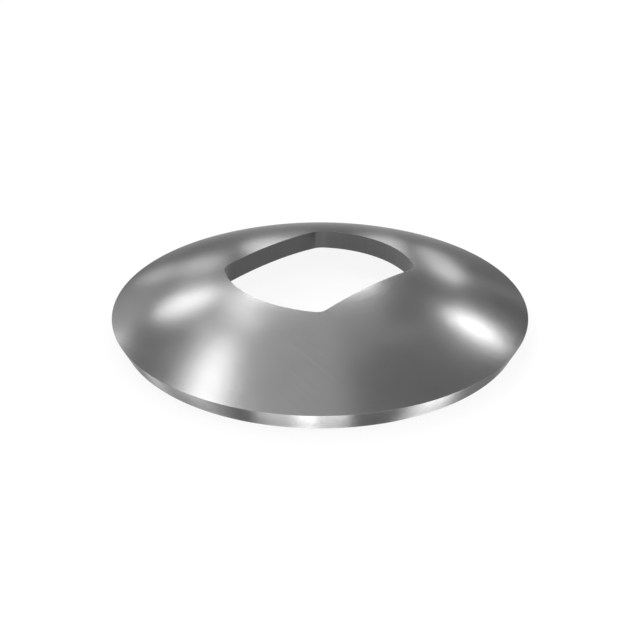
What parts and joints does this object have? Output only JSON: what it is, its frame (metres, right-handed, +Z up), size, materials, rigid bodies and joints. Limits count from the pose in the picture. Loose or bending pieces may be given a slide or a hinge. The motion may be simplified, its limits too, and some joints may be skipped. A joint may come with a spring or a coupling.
{
  "type": "spherical thrust washer",
  "caption": "Dished steel thrust washer with a ball-shaped crown, a hollow ball seat beneath, a rim cut square to the sheet and a flatted hole that stops it turning on its shaft.",
  "frame": {"origin": "on the washer's axis, in the plane of the lower rim edge that it lies on", "axes": "+Z up through the crown, +X square to the flats of the hole, +Y across its round sides"},
  "size_m": [0.045, 0.045, 0.0061],
  "materials": {
    "steel": "satin bare steel, smooth on the bearing faces"
  },
  "bodies": {
    "root": {"thrust_washer": "steel"}
  },
  "joints": []
}
